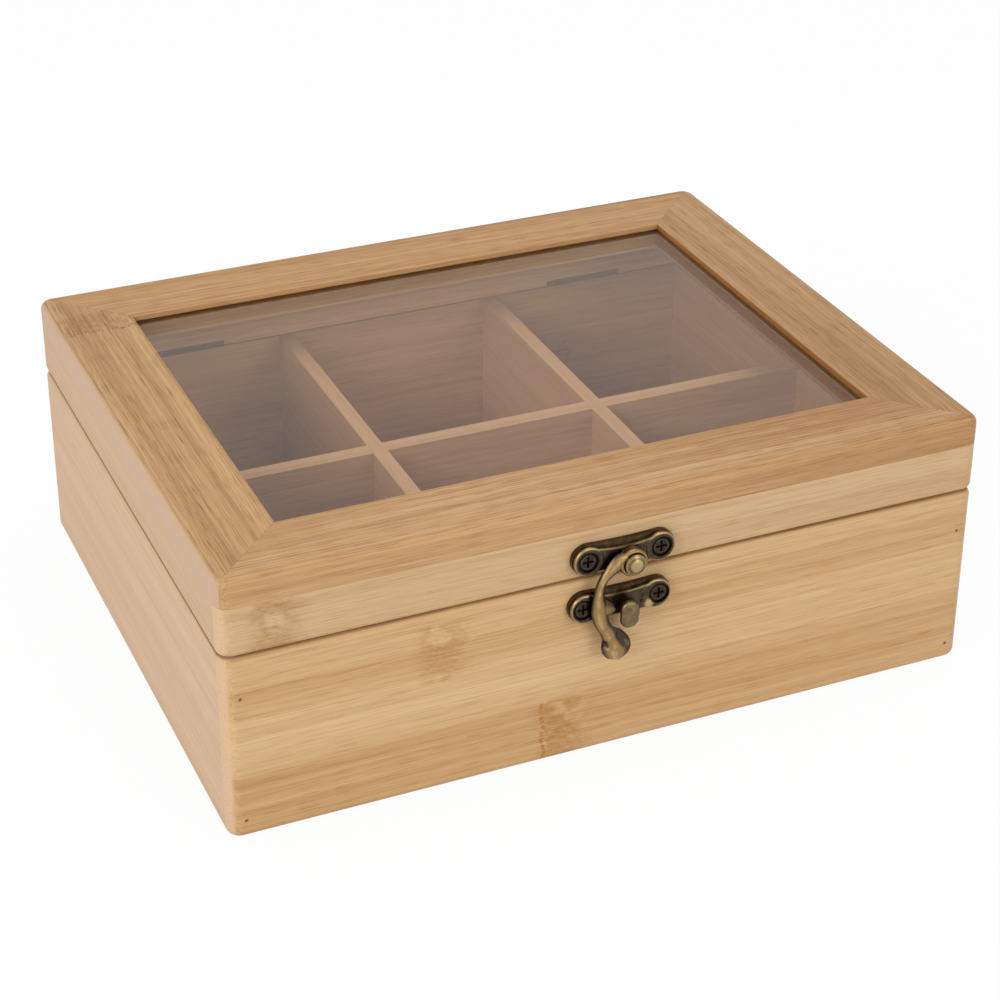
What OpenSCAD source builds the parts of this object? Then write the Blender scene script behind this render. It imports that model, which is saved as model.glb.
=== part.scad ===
// Wooden tea box with six compartments, a hinged lid with a clear pane, and a swing-hook latch.
// The front of the box faces -Y. The origin is at the middle of the underside.

/* [Box] */
// Width of the box, left to right
box_width = 215; // [190:1:260]
// Depth of the box, front to back
box_depth = 172; // [150:1:220]
// Height of the box below the lid
body_height = 54; // [50:1:80]
// Thickness of the boards
board = 8; // [7:0.5:10]
// Thickness of the base panel
base_thickness = 4; // [3:0.5:5]
// What the front and back boards leave to cover the ends of the side boards
corner_lip = 4; // [4:0.5:5]
// Rounding of the upright corners
corner_radius = 3.8; // [3:0.1:3.9]
// Rounding of the bottom edge
bottom_radius = 2.5; // [0.8:0.1:2.8]
// Rounding of the two edges that meet where the lid closes
closing_radius = 1.6; // [0.5:0.1:1.8]

/* [Dividers] */
// Thickness of the long divider
divider = 5; // [3:0.5:6]
// Thickness of the two cross dividers
cross_divider = 4.4; // [3:0.2:6]
// How far the dividers stay below the rim of the box
divider_drop = 0; // [0:0.5:6]

/* [Lid] */
// Gap between the box and the closed lid
lid_gap = 0.5; // [0.4:0.1:0.8]
// Height of the rim under the top frame
rim_height = 14; // [12:0.5:20]
// Thickness of the top frame
frame_thickness = 8; // [7:0.5:10]
// Width of the rails of the top frame
rail_width = 22.5; // [18:0.5:26]
// Rounding of the top edge of the lid
top_radius = 2.2; // [0.8:0.1:2.8]
// Thickness of the clear pane
pane_thickness = 2; // [1.5:0.5:3]
// How deep the pane lies below the top of the frame
pane_depth = 1.7; // [1.4:0.1:2.6]
// Depth of the groove that holds the pane
groove_depth = 5; // [3:0.5:8]

/* [Hinges] */
// Length of a hinge
hinge_length = 25; // [20:0.5:32]
// Distance from the side of the box to the middle of a hinge
hinge_inset = 41; // [30:1:55]
// Thickness of a hinge leaf
leaf = 1; // [0.8:0.1:1.2]
// Outer radius of the knuckles
knuckle_radius = 2; // [1.8:0.1:2.2]
// Radius of the hinge pin
pin_radius = 0.9; // [0.7:0.05:1]

/* [Latch] */
// Thickness of the latch plate and of the strike plate at their screws
plate_thickness = 2.7; // [2.4:0.1:3]
// Thickness of the swing hook
hook_thickness = 2; // [1.6:0.1:2.2]
// Half the distance between the screws of the latch plate
latch_screw_half_span = 10.4; // [9.5:0.1:11]
// Half the distance between the screws of the strike plate
strike_screw_half_span = 10.8; // [9.5:0.1:11.2]
// Length of the strike post that the hook goes under
post_length = 6.6; // [6.2:0.1:7.2]

/* [Hidden] */
$fn = 48;
over = 1; // how far a cutting shape runs past what it cuts
LEFT = -1;
RIGHT = 1;
FRONT = -1;
BACK = 1;

wood = [0.80, 0.63, 0.42];
pale_wood = [0.86, 0.72, 0.54];
bronze = [0.36, 0.31, 0.24];
worn_bronze = [0.55, 0.47, 0.32];
dark_steel = [0.20, 0.19, 0.18];

half_width = box_width / 2;
half_depth = box_depth / 2;
inner_width = box_width - 2 * board;
inner_depth = box_depth - 2 * board;
rim_bottom = body_height + lid_gap;
rim_top = rim_bottom + rim_height;
lid_top = rim_top + frame_thickness;

divider_top = body_height - divider_drop;
divider_height = divider_top - base_thickness;
cross_divider_x = (inner_width + cross_divider) / 6;

brad_radius = 0.5;
brad_length = 20;
brad_sunk = 0.3;
brad_inset = 4.6; // from the side of the box, in the end of the side board
brad_above_base = 1.5;
brad_below_rim = 11.8;
brad_heights = [base_thickness + brad_above_base, body_height - brad_below_rim];

rail_edge = 0.5; // rounding of the upper inside edge of the frame
pane_play = 0.5; // gap round the edge of the pane, in its groove
pane_low = lid_top - pane_depth - pane_thickness;

// The hinge leaves lie folded between the rim of the box and a mortise in the lid rim.
leaf_play = 0.1;
mortise_play = 0.2;
knuckle_count = 5;
knuckle_gap = 0.15;
knuckle_play = 0.25;
pin_play = 0.05;
pin_y = half_depth + knuckle_radius;
pin_z = body_height + leaf + leaf_play / 2;
lid_leaf_low = body_height + leaf + leaf_play;
mortise_top = lid_leaf_low + leaf;
hinge_x = half_width - hinge_inset;
hinge_screw_half_span = hinge_length / 4;
hinge_screw_head = 1.8;
hinge_screw_shank = 1;
hinge_screw_length = 9;
knuckle_pitch = hinge_length / knuckle_count;
// The stop lug of the lid leaf points so many degrees below level, which stops the lid at about 101 degrees.
stop_angle = 16;
stop_reach = 3.4;
stop_thickness = 1;

// Latch. Heights are counted from the closing line of the lid.
closing_line = body_height;
latch_z = closing_line + 6.6;
latch_lobe = 4.4;
latch_end = 10.1; // half the distance between the round ends of the plate
pivot_x = 1.7;
pivot_z = closing_line + 4.7;
pivot_boss = 4;
strike_x = -0.7;
strike_z = closing_line - 7.4;
strike_lobe = 4.4;
strike_end = 10.1;
plate_skirt = 1.5; // thickness of the plates' outer layer
plate_web = 2.5; // thickness of the plates between their screws
plate_inset = 0.4;
plate_edge = 0.5; // rounding of the pads
plate_skirt_dip = 0.3;
latch_web_dip = 1.4;
latch_bar_low = 3.6;
strike_web_dip = 1.2;
strike_bar_low = 3.8;
latch_screw_head = 2.5;
latch_screw_shank = 1.1;
latch_screw_length = 9.5;
latch_screw_sunk = 0.3;
recess_play = 0.3; // between a screw's head and its recess
post_x = 1.4;
post_z = closing_line - 9.4;
post_width = 3.6;
post_height = 4.3;
post_edge = 1.4;
post_foot_low = 2.9;
post_foot_high = 2.4;
pip_radius = 1.1; // small cast bumps on both sides of the post
pip_lift = 0.3;
pip_span = 6.6;
pip_drop = 1.2;
hook_play = 0.2;
hook_low = plate_thickness + hook_play;
hook_middle = hook_low + hook_thickness / 2;
hook_eye = 4;
hook_eye_edge = 0.6;
hook_steps = 4; // sections to each row of the hook's tables
spur_steps = 3;
rivet_radius = 1.3;
rivet_play = 0.05;
rivet_head = 2.9;
rivet_rim = 0.5; // thickness of the head at its edge
rivet_dome = 1;
rivet_lift = 0.1;
rivet_low = hook_low + hook_thickness + rivet_lift;

// The middle line of the swing hook, from its eye to its finger tab.
// Each row holds the distance from the pivot to the right and up, the half width,
// the lift of the middle line towards the hand, and the half thickness.
half_hook = hook_thickness / 2;
hook_rows = [
    [-1.7, 1.9, 1.6, 0, half_hook - 0.1],
    [-4.0, 0.8, 2.4, 0, half_hook],
    [-7.2, -2.1, 1.6, 0, half_hook],
    [-9.0, -5.0, 1.3, 0, half_hook],
    [-9.6, -8.6, 1.6, 0, half_hook],
    [-9.3, -12.6, 2.3, 0, half_hook],
    [-8.6, -16.0, 2.1, 0, half_hook],
    [-7.0, -19.1, 2.0, 0, half_hook],
    [-5.3, -21.7, 3.3, 0.3, half_hook],
    [-4.4, -24.3, 4.2, 0.6, half_hook],
    [-4.0, -26.8, 3.0, 0.8, 0.8 * half_hook],
    [-3.9, -28.0, 0.6, 0.8, 0.4 * half_hook]
];
// The spur that meets the side of the post, from the middle of the hook to its tip
spur_rows = [
    [-9.0, -12.4, 2.7, 0, half_hook - 0.1],
    [-7.2, -12.5, 2.0, 0, half_hook - 0.15],
    [-5.8, -12.6, 1.2, 0, half_hook - 0.2],
    [-4.8, -12.7, 0.5, 0, half_hook - 0.5]
];

// ---- curves -------------------------------------------------------------------------------

// A point of the smooth curve through the rows, s rows along it
function on_curve(rows, s) =
    let (
        i = min(floor(s), len(rows) - 2),
        u = s - i,
        a = rows[max(i - 1, 0)],
        b = rows[i],
        c = rows[i + 1],
        d = rows[min(i + 2, len(rows) - 1)]
    )
    b + u / 2 * (c - a + u * (2 * a - 5 * b + 4 * c - d + u * (3 * (b - c) + d - a)));

// Across the curve, to its left, at s rows along it
function across(rows, s) =
    let (
        step = 0.01,
        p = on_curve(rows, max(s - step, 0)),
        q = on_curve(rows, min(s + step, len(rows) - 1)),
        along = [q[0] - p[0], q[1] - p[1]]
    )
    [-along[1], along[0]] / norm(along);

// The cross-section is a soft-cornered oval
section_sides = 12;
section_power = 0.9;
function soft(v) = sign(v) * pow(abs(v), section_power);
function section_ring(rows, s) =
    let (p = on_curve(rows, s), n = across(rows, s))
    [
        for (j = [0 : section_sides - 1])
            let (
                angle = 360 * j / section_sides,
                w = p[2] * soft(cos(angle)),
                t = p[4] * soft(sin(angle))
            )
            [p[0] + n[0] * w, p[1] + n[1] * w, p[3] + t]
    ];

// A bar of varying oval section, swept along the rows
module swept_bar(rows, steps_per_row) {
    ring_count = (len(rows) - 1) * steps_per_row + 1;
    points = [
        for (i = [0 : ring_count - 1])
            each section_ring(rows, i / steps_per_row)
    ];
    sides = [
        for (i = [0 : ring_count - 2], j = [0 : section_sides - 1])
            let (
                k = (j + 1) % section_sides,
                low = i * section_sides,
                high = low + section_sides
            )
            [low + j, high + j, high + k, low + k]
    ];
    first_end = [for (j = [0 : section_sides - 1]) j];
    last_end = [for (j = [section_sides - 1 : -1 : 0]) (ring_count - 1) * section_sides + j];
    polyhedron(points, concat([first_end], sides, [last_end]), convexity = 6);
}

// ---- shared shapes ------------------------------------------------------------------------

// What a rounding takes off a square corner at the origin of material that lies at -x, -y
module corner_waste(radius) {
    difference() {
        translate([-radius, -radius]) square(radius + over);
        translate([-radius, -radius]) circle(radius);
    }
}

// A rectangle that stands on the x axis, with its lower and its upper corners rounded
module end_profile(width, height, low_radius, high_radius) {
    difference() {
        translate([-width / 2, 0]) square([width, height]);
        for (side = [0, 1]) mirror([side, 0]) {
            translate([width / 2, height]) corner_waste(high_radius);
            translate([width / 2, 0]) mirror([0, 1]) corner_waste(low_radius);
        }
    }
}

// The outer form of the box or of the lid: a block with all its edges rounded
module outer_form(low, high, low_radius, high_radius) {
    height = high - low;
    inset_x = half_width - corner_radius;
    inset_y = half_depth - corner_radius;
    translate([0, 0, low]) {
        translate([0, inset_y, 0])
            rotate([90, 0, 0])
                linear_extrude(2 * inset_y)
                    end_profile(box_width, height, low_radius, high_radius);
        translate([-inset_x, 0, 0])
            rotate([90, 0, 90])
                linear_extrude(2 * inset_x)
                    end_profile(box_depth, height, low_radius, high_radius);
        for (x = [0, 1], y = [0, 1])
            mirror([x, 0, 0]) mirror([0, y, 0])
                translate([inset_x, inset_y, 0])
                    rotate_extrude(angle = 90)
                        corner_profile(height, low_radius, high_radius);
    }
}

// What is turned about the axis of an upright corner
module corner_profile(height, low_radius, high_radius) {
    difference() {
        square([corner_radius, height]);
        translate([corner_radius, height]) corner_waste(high_radius);
        translate([corner_radius, 0]) mirror([0, 1]) corner_waste(low_radius);
    }
}

module body_form() {
    outer_form(0, body_height, bottom_radius, closing_radius);
}

module lid_form() {
    outer_form(rim_bottom, lid_top, closing_radius, top_radius);
}

// A front or back board, rabbeted at both ends for the side boards
module long_board(side, low, height) {
    difference() {
        translate([-half_width, side > 0 ? half_depth - board : -half_depth, low])
            cube([box_width, board, height]);
        for (x = [-half_width - over, half_width - board])
            translate([x, side > 0 ? half_depth - board - over : corner_lip - half_depth, low - over])
                cube([board + over, board - corner_lip + over, height + 2 * over]);
    }
}

// A side board, held between the lips of the front and back boards
module side_board(side, low, height) {
    length = box_depth - 2 * corner_lip;
    translate([side > 0 ? half_width - board : -half_width, -length / 2, low])
        cube([board, length, height]);
}

// The base panel lies in a rabbet, half in the thickness of the boards
base_width = inner_width + board;
base_depth = inner_depth + 2 * (board - corner_lip);
module base_panel_form() {
    translate([-base_width / 2, -base_depth / 2, 0])
        cube([base_width, base_depth, base_thickness]);
}

// Rounded disc standing on the xy plane
module soft_disc(radius, height, edge) {
    rotate_extrude() {
        square([radius - edge, height]);
        translate([0, edge]) square([radius, height - 2 * edge]);
        translate([radius - edge, edge]) circle(edge);
        translate([radius - edge, height - edge]) circle(edge);
    }
}

// Flat countersunk wood screw with a cross recess, its head at z = 0 and its point down.
// With for_hole it is the hole for it, open upwards.
module wood_screw(head, shank, length, for_hole = false) {
    cone = head - shank;
    tip = 2 * shank;
    point = 0.2 * shank;
    recess_reach = 0.62 * head;
    recess_width = 0.24 * head;
    recess_depth = 0.35 * head;
    difference() {
        union() {
            translate([0, 0, -cone]) cylinder(cone, shank, head);
            translate([0, 0, tip - length]) cylinder(length - tip, shank, shank);
            translate([0, 0, -length]) cylinder(tip, point, shank);
            if (for_hole) cylinder(over, head, head);
        }
        if (!for_hole) {
            for (turn = [0, 90])
                rotate([0, 0, turn])
                    translate([-recess_reach, -recess_width / 2, -recess_depth])
                        cube([2 * recess_reach, recess_width, recess_depth + over]);
        }
    }
}

// Turns a shape drawn flat, with its height along z, to stand on the front face of the box
module on_front() {
    translate([0, -half_depth, 0]) rotate([90, 0, 0]) children();
}

// ---- box ----------------------------------------------------------------------------------

// Each brad goes through the lip of a front or back board into the end of a side board
module brads(extra = 0) {
    for (side = [FRONT, BACK], x = [LEFT, RIGHT], z = brad_heights)
        translate([x * (half_width - brad_inset), side * (half_depth - brad_sunk + extra), z])
            rotate([90 * side, 0, 0])
                cylinder(brad_length + extra, brad_radius, brad_radius);
}

module long_body_board(side) {
    intersection() {
        difference() {
            long_board(side, 0, body_height);
            base_panel_form();
            brads(over);
        }
        body_form();
    }
}

module side_body_board(side) {
    intersection() {
        difference() {
            side_board(side, 0, body_height);
            base_panel_form();
            brads();
        }
        body_form();
    }
}

module box_front_board() {
    color(wood) difference() {
        long_body_board(FRONT);
        strike_screw_places() latch_screw(true);
    }
}

module box_back_board() {
    color(wood) difference() {
        long_body_board(BACK);
        hinge_places([LEFT, RIGHT]) box_leaf_screws(true);
    }
}

module box_left_board() {
    color(pale_wood) side_body_board(LEFT);
}

module box_right_board() {
    color(pale_wood) side_body_board(RIGHT);
}

module box_base_panel() {
    color(wood) base_panel_form();
}

module box_brads() {
    color(dark_steel) brads();
}

// ---- dividers -----------------------------------------------------------------------------

// The long divider is slotted from above and the cross dividers from below
module long_divider() {
    color(pale_wood) difference() {
        translate([-inner_width / 2, -divider / 2, base_thickness])
            cube([inner_width, divider, divider_height]);
        for (x = [-cross_divider_x, cross_divider_x])
            translate([x - cross_divider / 2, -divider / 2 - over, base_thickness + divider_height / 2])
                cube([cross_divider, divider + 2 * over, divider_height]);
    }
}

module cross_divider_at(x) {
    color(pale_wood) difference() {
        translate([x - cross_divider / 2, -inner_depth / 2, base_thickness])
            cube([cross_divider, inner_depth, divider_height]);
        translate([x - cross_divider / 2 - over, -divider / 2, base_thickness - over])
            cube([cross_divider + 2 * over, divider, divider_height / 2 + over]);
    }
}

module cross_divider_left() {
    cross_divider_at(-cross_divider_x);
}

module cross_divider_right() {
    cross_divider_at(cross_divider_x);
}

// ---- hinges -------------------------------------------------------------------------------

// Puts a hinge part, drawn about the middle of its pin, in the named places
module hinge_places(sides) {
    for (side = sides) translate([side * hinge_x, pin_y, pin_z]) children();
}

// Every second knuckle from the first one, counted from the left end
module knuckles(first, radius, gap) {
    for (i = [first : 2 : knuckle_count - 1])
        translate([(i - knuckle_count / 2) * knuckle_pitch + gap / 2, 0, 0])
            rotate([0, 90, 0])
                cylinder(knuckle_pitch - gap, radius, radius);
}

// Room for the other leaf's knuckles
module knuckle_room(first) {
    reach = knuckle_radius + knuckle_play;
    for (i = [first : 2 : knuckle_count - 1])
        translate([(i - knuckle_count / 2) * knuckle_pitch - knuckle_gap / 2, -reach, -reach])
            cube([knuckle_pitch + knuckle_gap, 2 * reach, 2 * reach]);
}

// A leaf: a plate over the whole thickness of the board, and its knuckles
module hinge_leaf(plate_low, first, bore) {
    difference() {
        union() {
            difference() {
                translate([-hinge_length / 2, -knuckle_radius - board, plate_low])
                    cube([hinge_length, board + knuckle_radius, leaf]);
                knuckle_room(1 - first);
            }
            knuckles(first, knuckle_radius, knuckle_gap);
        }
        translate([-hinge_length / 2 - over, 0, 0])
            rotate([0, 90, 0])
                cylinder(hinge_length + 2 * over, bore, bore);
    }
}

hinge_screw_y = -knuckle_radius - board / 2;

module box_leaf_screws(for_hole = false) {
    for (x = [-hinge_screw_half_span, hinge_screw_half_span])
        translate([x, hinge_screw_y, -leaf_play / 2])
            wood_screw(hinge_screw_head, hinge_screw_shank, hinge_screw_length, for_hole);
}

module lid_leaf_screws(for_hole = false) {
    mirror([0, 0, 1]) box_leaf_screws(for_hole);
}

module box_leaf() {
    difference() {
        hinge_leaf(-leaf - leaf_play / 2, 0, pin_radius);
        box_leaf_screws(true);
    }
}

// The lid leaf has a lug behind each knuckle, which meets the back of the box and stops the lid
module lid_leaf() {
    difference() {
        union() {
            hinge_leaf(leaf_play / 2, 1, pin_radius + pin_play);
            intersection() {
                difference() {
                    rotate([-stop_angle, 0, 0])
                        translate([-hinge_length / 2, 0, -stop_thickness / 2])
                            cube([hinge_length, stop_reach, stop_thickness]);
                    translate([-hinge_length / 2, 0, 0])
                        rotate([0, 90, 0])
                            cylinder(hinge_length, pin_radius + pin_play, pin_radius + pin_play);
                }
                knuckles(1, stop_reach + over, knuckle_gap);
            }
        }
        lid_leaf_screws(true);
    }
}

// The pin, with a low head at each end
pin_head_height = 0.5;
pin_head_radius = pin_radius + 0.5;
module hinge_pin() {
    rotate([0, 90, 0]) {
        cylinder(hinge_length, pin_radius, pin_radius, center = true);
        for (end = [0, 1]) mirror([0, 0, end])
            translate([0, 0, hinge_length / 2])
                cylinder(pin_head_height, pin_head_radius, pin_radius);
    }
}

module hinge_left_box_leaf() {
    color(bronze) hinge_places([LEFT]) box_leaf();
}

module hinge_right_box_leaf() {
    color(bronze) hinge_places([RIGHT]) box_leaf();
}

module hinge_left_lid_leaf() {
    color(bronze) hinge_places([LEFT]) lid_leaf();
}

module hinge_right_lid_leaf() {
    color(bronze) hinge_places([RIGHT]) lid_leaf();
}

module hinge_left_pin() {
    color(worn_bronze) hinge_places([LEFT]) hinge_pin();
}

module hinge_right_pin() {
    color(worn_bronze) hinge_places([RIGHT]) hinge_pin();
}

module hinge_box_screws() {
    color(worn_bronze) hinge_places([LEFT, RIGHT]) box_leaf_screws();
}

module hinge_lid_screws() {
    color(worn_bronze) hinge_places([LEFT, RIGHT]) lid_leaf_screws();
}

// ---- lid ----------------------------------------------------------------------------------

module lid_rim_front() {
    color(pale_wood) difference() {
        intersection() {
            long_board(FRONT, rim_bottom, rim_height);
            lid_form();
        }
        latch_screw_places() latch_screw(true);
    }
}

// The back rim is mortised through for the folded hinge leaves
module lid_rim_back() {
    mortise = hinge_length + 2 * mortise_play;
    color(pale_wood) difference() {
        intersection() {
            long_board(BACK, rim_bottom, rim_height);
            lid_form();
        }
        for (side = [LEFT, RIGHT])
            translate([side * hinge_x - mortise / 2, half_depth - board - over, rim_bottom - over])
                cube([mortise, board + 2 * over, mortise_top - rim_bottom + over]);
        hinge_places([LEFT, RIGHT]) lid_leaf_screws(true);
    }
}

module lid_rim_side(side) {
    color(pale_wood) intersection() {
        side_board(side, rim_bottom, rim_height);
        lid_form();
    }
}

module lid_rim_left() {
    lid_rim_side(LEFT);
}

module lid_rim_right() {
    lid_rim_side(RIGHT);
}

// A rail of the top frame, mitred at both ends, its upper inside edge rounded.
// It is drawn as the front rail of a frame that is length wide and reach deep.
module mitred_rail(length, reach) {
    difference() {
        translate([0, 0, rim_top])
            linear_extrude(frame_thickness)
                polygon([
                    [-length / 2, -reach / 2],
                    [length / 2, -reach / 2],
                    [length / 2 - rail_width, rail_width - reach / 2],
                    [rail_width - length / 2, rail_width - reach / 2]
                ]);
        translate([-length / 2, rail_width - reach / 2, lid_top])
            rotate([90, 0, 90]) linear_extrude(length) corner_waste(rail_edge);
    }
}

module pane_form(edge) {
    translate([0, 0, pane_low + pane_thickness / 2])
        cube([box_width - 2 * edge, box_depth - 2 * edge, pane_thickness], center = true);
}

module frame_rail(length, reach, turn) {
    color(wood) difference() {
        intersection() {
            rotate([0, 0, turn]) mitred_rail(length, reach);
            lid_form();
        }
        pane_form(rail_width - groove_depth);
    }
}

module lid_frame_front() {
    frame_rail(box_width, box_depth, 0);
}

module lid_frame_right() {
    frame_rail(box_depth, box_width, 90);
}

module lid_frame_back() {
    frame_rail(box_width, box_depth, 180);
}

module lid_frame_left() {
    frame_rail(box_depth, box_width, 270);
}

module lid_pane() {
    color([0.8, 0.85, 0.85, 0.3]) pane_form(rail_width - groove_depth + pane_play);
}

// ---- latch --------------------------------------------------------------------------------

module latch_screw(for_hole = false) {
    wood_screw(latch_screw_head, latch_screw_shank, latch_screw_length, for_hole);
}

module latch_screw_places() {
    for (x = [-latch_screw_half_span, latch_screw_half_span])
        on_front() translate([x, latch_z, plate_thickness - latch_screw_sunk]) children();
}

module strike_screw_places() {
    for (x = [-strike_screw_half_span, strike_screw_half_span])
        on_front() translate([strike_x + x, strike_z, plate_thickness - latch_screw_sunk]) children();
}

// The hole for a screw in a cast plate, with a round recess for its head
module plate_hole() {
    latch_screw(true);
    cylinder(over, latch_screw_head + recess_play, latch_screw_head + recess_play);
}

// Two round lobes joined by a bar whose top edge dips and whose bottom edge is higher
module waisted_outline(half_span, lobe, bar_low, dip) {
    dip_radius = (pow(half_span, 2) + pow(dip, 2)) / (2 * dip);
    for (x = [-half_span, half_span]) translate([x, 0]) circle(lobe);
    difference() {
        translate([-half_span, -bar_low]) square([2 * half_span, bar_low + lobe]);
        translate([0, lobe - dip + dip_radius]) circle(dip_radius, $fn = 96);
    }
}

// A cast plate: a skirt with the full outline, a set-back web, and a pad round each screw
module cast_plate(half_span, lobe, bar_low, web_dip) {
    linear_extrude(plate_skirt) waisted_outline(half_span, lobe, bar_low, plate_skirt_dip);
    linear_extrude(plate_web)
        waisted_outline(half_span, lobe - plate_inset, bar_low - plate_inset, web_dip);
    for (x = [-half_span, half_span])
        translate([x, 0, 0]) soft_disc(lobe - plate_inset / 2, plate_thickness, plate_edge);
}

module latch_plate() {
    color(bronze) difference() {
        union() {
            on_front() translate([0, latch_z, 0])
                cast_plate(latch_end, latch_lobe, latch_bar_low, latch_web_dip);
            on_front() translate([pivot_x, pivot_z, 0])
                soft_disc(pivot_boss, plate_thickness, plate_edge);
        }
        latch_screw_places() plate_hole();
        on_front() translate([pivot_x, pivot_z, -over])
            cylinder(plate_thickness + 2 * over, rivet_radius, rivet_radius);
    }
}

// The post, an upright oblong with a rounded end
module strike_post() {
    flat = post_height - post_width;
    rotate([90, 0, 0]) linear_extrude(flat, center = true) post_profile();
    for (turn = [0, 180])
        rotate([0, 0, turn]) translate([0, flat / 2, 0])
            rotate_extrude(angle = 180) intersection() {
                post_profile();
                square([post_width, post_length]);
            }
}

module post_profile() {
    end_profile(post_width, post_length, post_edge, post_edge);
}

module strike_plate() {
    color(bronze) difference() {
        union() {
            on_front() translate([strike_x, strike_z, 0])
                cast_plate(strike_end, strike_lobe, strike_bar_low, strike_web_dip);
            on_front() translate([post_x, post_z, 0]) {
                cylinder(plate_thickness, post_foot_low, post_foot_high);
                strike_post();
            }
            for (x = [-pip_span, pip_span])
                on_front() translate([strike_x + x, strike_z - pip_drop, 0])
                    soft_disc(pip_radius, plate_web + pip_lift, pip_lift);
        }
        strike_screw_places() plate_hole();
    }
}

module strike_screws() {
    color(dark_steel) strike_screw_places() latch_screw();
}

module latch_screws() {
    color(dark_steel) latch_screw_places() latch_screw();
}

module latch_rivet() {
    dome_radius = (pow(rivet_head, 2) + pow(rivet_dome, 2)) / (2 * rivet_dome);
    dome_low = rivet_low + rivet_rim;
    color(worn_bronze) on_front() translate([pivot_x, pivot_z, 0]) {
        cylinder(dome_low, rivet_radius, rivet_radius);
        translate([0, 0, rivet_low]) cylinder(rivet_rim, rivet_head, rivet_head);
        intersection() {
            translate([0, 0, dome_low + rivet_dome - dome_radius]) sphere(dome_radius);
            translate([0, 0, dome_low])
                cylinder(2 * rivet_dome, rivet_head + over, rivet_head + over);
        }
    }
}

module latch_hook() {
    color(worn_bronze) on_front() translate([pivot_x, pivot_z, 0]) difference() {
        union() {
            translate([0, 0, hook_low]) soft_disc(hook_eye, hook_thickness, hook_eye_edge);
            translate([0, 0, hook_middle]) {
                swept_bar(hook_rows, hook_steps);
                swept_bar(spur_rows, spur_steps);
            }
        }
        cylinder(hook_low + hook_thickness + over, rivet_radius + rivet_play, rivet_radius + rivet_play);
    }
}

box_front_board();
box_back_board();
box_left_board();
box_right_board();
box_base_panel();
long_divider();
cross_divider_left();
cross_divider_right();
box_brads();
strike_plate();
strike_screws();
hinge_left_box_leaf();
hinge_right_box_leaf();
hinge_left_pin();
hinge_right_pin();
hinge_box_screws();
lid_rim_front();
lid_rim_back();
lid_rim_left();
lid_rim_right();
lid_frame_front();
lid_frame_back();
lid_frame_left();
lid_frame_right();
lid_pane();
hinge_left_lid_leaf();
hinge_right_lid_leaf();
hinge_lid_screws();
latch_plate();
latch_screws();
latch_rivet();
latch_hook();
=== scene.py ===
# %% [markdown]
# # A bamboo tea box
#
# This notebook dresses a bamboo box for tea bags: six compartments, a hinged lid that frames a
# clear pane, and a small swing-hook latch of antiqued brass. The solids come ready from the
# construction model, one for each piece that a joiner would cut. Blender's job is their looks:
# bamboo that runs the right way on every board, a pane that shows what is behind it, and metal
# that is dark in its hollows and worn bright on its edges.

import math

import bmesh
import bpy
from mathutils import Euler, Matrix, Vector


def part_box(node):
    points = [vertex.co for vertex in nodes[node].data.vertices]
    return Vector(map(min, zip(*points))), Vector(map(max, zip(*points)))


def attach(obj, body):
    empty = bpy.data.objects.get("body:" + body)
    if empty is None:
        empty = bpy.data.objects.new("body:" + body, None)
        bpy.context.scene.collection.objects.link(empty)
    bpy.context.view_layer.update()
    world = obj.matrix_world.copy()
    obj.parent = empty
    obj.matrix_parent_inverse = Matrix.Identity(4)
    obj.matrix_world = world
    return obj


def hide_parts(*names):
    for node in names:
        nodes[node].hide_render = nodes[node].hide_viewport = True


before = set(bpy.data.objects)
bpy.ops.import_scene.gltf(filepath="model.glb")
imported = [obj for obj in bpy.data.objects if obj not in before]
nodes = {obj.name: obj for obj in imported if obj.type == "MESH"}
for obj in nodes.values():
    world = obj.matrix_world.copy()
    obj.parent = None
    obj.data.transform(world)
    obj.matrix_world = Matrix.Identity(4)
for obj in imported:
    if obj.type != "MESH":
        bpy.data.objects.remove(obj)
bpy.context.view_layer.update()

# %% [markdown]
# ## Places
#
# The drawings are in millimetres and Blender's scene is in metres. A finish has to know where the
# box ends, where the lid closes and where the fittings sit. Those places are read from the pieces
# themselves, so nothing has to be measured twice, and a finish can't slip off its piece.

# %% Where the boards are
MM = 0.001


def corners(name):
    """A piece's lowest and highest corner at rest, in millimetres."""
    return [[round(part / MM, 3) for part in corner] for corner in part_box(name)]


def middle(name):
    """The middle of a piece as seen from the front: to the right, and up."""
    low, high = corners(name)
    return round((low[0] + high[0]) / 2, 3), round((low[2] + high[2]) / 2, 3)


front_low, front_high = corners("box_front_board")
HALF_WIDTH, HALF_DEPTH = front_high[0], -front_low[1]
BOARD = front_high[1] - front_low[1]  # the thickness of a board
CLOSING = front_high[2]  # the height at which the box ends
LID_LOW = corners("lid_rim_front")[0][2]  # the height at which the lid begins
SIDE_STOP = corners("box_left_board")[1][1]  # the side boards stop short of the front face
print("box", 2 * HALF_WIDTH, "x", 2 * HALF_DEPTH, "mm, boards", BOARD, "mm, closes at", CLOSING)

# %% [markdown]
# ## Shader maths that reads like maths
#
# A material is a tree of nodes, and a long formula soon needs dozens of them. Two small classes
# keep that readable. `Value` wraps one socket and takes part in ordinary Python expressions, so
# that `1 - mask * 0.5` adds the Math nodes by itself. `Finish` owns one tree of nodes and adds
# any other node from its type, its settings and what goes into its sockets.

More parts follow.
